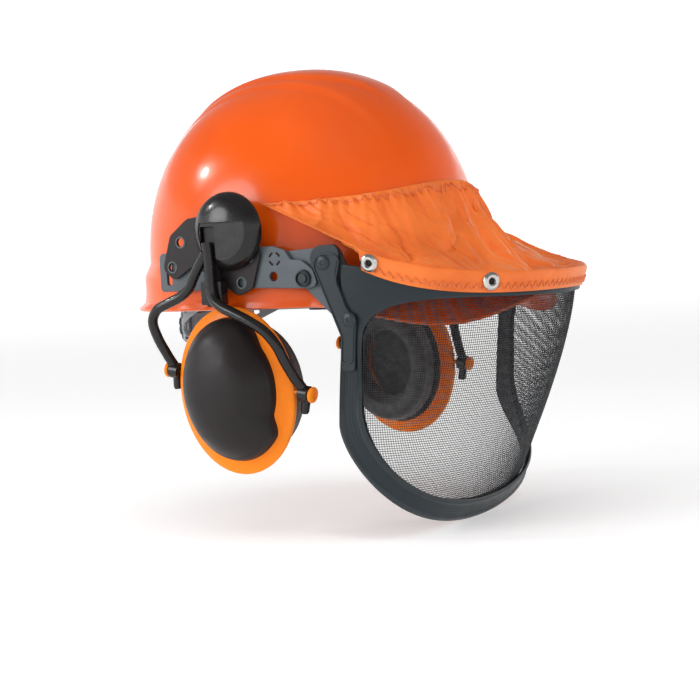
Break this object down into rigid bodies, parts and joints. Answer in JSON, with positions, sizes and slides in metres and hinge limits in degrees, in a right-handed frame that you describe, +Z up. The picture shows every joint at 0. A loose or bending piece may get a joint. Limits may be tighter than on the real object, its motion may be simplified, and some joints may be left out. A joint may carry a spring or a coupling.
{
  "type": "hard hat",
  "caption": "Orange hard hat with a hinged mesh visor, a gathered fabric cover over the peak and ear muffs on swinging, sliding arms.",
  "frame": {"origin": "middle of the headband opening, at the level of the shell's rim", "axes": "-Y is the front of the hat, +X the wearer's left, +Z up"},
  "size_m": [0.29, 0.3416, 0.3208],
  "materials": {
    "orange_shell": "glossy injection-moulded polyethylene, safety orange",
    "orange_cup": "semi-gloss moulded plastic, bright orange",
    "orange_nylon": "thin woven nylon with a soft sheen, orange",
    "dark_frame": "satin moulded nylon, very dark slate",
    "slate_carrier": "satin moulded nylon, mid slate grey",
    "black_plastic": "satin moulded plastic, warm black",
    "black_wire": "woven black polyamide mesh, modelled as a thin sheet",
    "steel": "bright nickel-plated steel",
    "harness_grey": "satin low-density polyethylene, mid grey",
    "webbing": "woven polyester webbing, charcoal",
    "foam": "open-cell foam, charcoal",
    "cushion_skin": "soft vinyl skin over foam, black"
  },
  "bodies": {
    "helmet": {"shell": "orange_shell", "headband": "harness_grey", "sweatband": "foam", "crown_strap_upper": "webbing", "crown_strap_lower": "webbing", "rain_cover": "orange_nylon", "anchor_key_front_left": "harness_grey", "anchor_key_front_right": "harness_grey", "anchor_key_rear_left": "harness_grey", "anchor_key_rear_right": "harness_grey", "carrier_left": "slate_carrier", "carrier_right": "slate_carrier", "visor_pivot_pin_left": "dark_frame", "visor_pivot_pin_right": "dark_frame", "bracket_plate_left": "black_plastic", "bracket_plate_right": "black_plastic", "swing_pin_left": "steel", "swing_pin_right": "steel"},
    "visor": {"visor_frame": "dark_frame", "visor_clamp": "dark_frame", "visor_mesh": "black_wire", "visor_arm_left": "slate_carrier", "visor_arm_right": "slate_carrier", "visor_rivet_upper_left": "dark_frame", "visor_rivet_upper_right": "dark_frame", "visor_rivet_lower_left": "dark_frame", "visor_rivet_lower_right": "dark_frame", "cover_snap_front_left": "steel", "cover_snap_front_right": "steel", "cover_snap_side_left": "steel", "cover_snap_side_right": "steel"},
    "nape_unit": {"nape_arm_left": "harness_grey", "nape_arm_right": "harness_grey", "ratchet_housing": "harness_grey"},
    "ratchet_wheel": {"ratchet_knob": "dark_frame", "ratchet_pinion": "steel"},
    "left_swivel": {"pivot_cap_left": "black_plastic", "flip_pin_left": "steel"},
    "left_arm": {"swing_arm_left": "black_plastic"},
    "left_fork": {"yoke_left": "black_plastic"},
    "left_muff": {"cup_left": "orange_cup", "cup_cover_left": "black_plastic", "cushion_plate_left": "black_plastic", "cushion_left": "cushion_skin", "cup_liner_left": "foam", "pivot_button_front_left": "orange_cup", "pivot_button_rear_left": "orange_cup"},
    "right_swivel": {"pivot_cap_right": "black_plastic", "flip_pin_right": "steel"},
    "right_arm": {"swing_arm_right": "black_plastic"},
    "right_fork": {"yoke_right": "black_plastic"},
    "right_muff": {"cup_right": "orange_cup", "cup_cover_right": "black_plastic", "cushion_plate_right": "black_plastic", "cushion_right": "cushion_skin", "cup_liner_right": "foam", "pivot_button_front_right": "orange_cup", "pivot_button_rear_right": "orange_cup"}
  },
  "joints": [
    {"name": "visor_tilt", "type": "hinge", "parent": "helmet", "child": "visor", "pos_m": [0, -0.065, 0.02], "axis": [-1, 0, 0], "range_deg": [0, 80], "deforming": ["rain_cover"]},
    {"name": "muff_swing_left", "type": "hinge", "parent": "helmet", "child": "left_swivel", "pos_m": [0.122, -0.009, 0.054], "axis": [1, 0, 0], "range_deg": [-6, 15]},
    {"name": "muff_flip_left", "type": "hinge", "parent": "left_swivel", "child": "left_arm", "pos_m": [0.122, 0.003, 0.06], "axis": [0, -1, 0], "range_deg": [0, 30]},
    {"name": "muff_height_left", "type": "slide", "parent": "left_arm", "child": "left_fork", "axis": [0, 0, -1], "range_m": [0, 0.012]},
    {"name": "cup_tilt_left", "type": "hinge", "parent": "left_fork", "child": "left_muff", "pos_m": [0.115, -0.0085, -0.049], "axis": [0, 0.9888, 0.1493], "range_deg": [0, 5]},
    {"name": "muff_swing_right", "type": "hinge", "parent": "helmet", "child": "right_swivel", "pos_m": [-0.122, -0.009, 0.054], "axis": [1, 0, 0], "range_deg": [-6, 15]},
    {"name": "muff_flip_right", "type": "hinge", "parent": "right_swivel", "child": "right_arm", "pos_m": [-0.122, 0.003, 0.06], "axis": [0, 1, 0], "range_deg": [0, 30]},
    {"name": "muff_height_right", "type": "slide", "parent": "right_arm", "child": "right_fork", "axis": [0, 0, -1], "range_m": [0, 0.012]},
    {"name": "cup_tilt_right", "type": "hinge", "parent": "right_fork", "child": "right_muff", "pos_m": [-0.115, -0.0085, -0.049], "axis": [0, -0.9888, -0.1493], "range_deg": [0, 5]},
    {"name": "nape_slide", "type": "slide", "parent": "helmet", "child": "nape_unit", "axis": [0, -1, 0], "range_m": [0, 0.018]},
    {"name": "ratchet_turn", "type": "hinge", "parent": "nape_unit", "child": "ratchet_wheel", "pos_m": [0, 0.1044, -0.016], "axis": [0, 1, 0], "range_deg": [0, 200]}
  ],
  "couplings": [
    {"joint": "ratchet_turn", "follows": "nape_slide", "rad_per_m": 192.3}
  ]
}
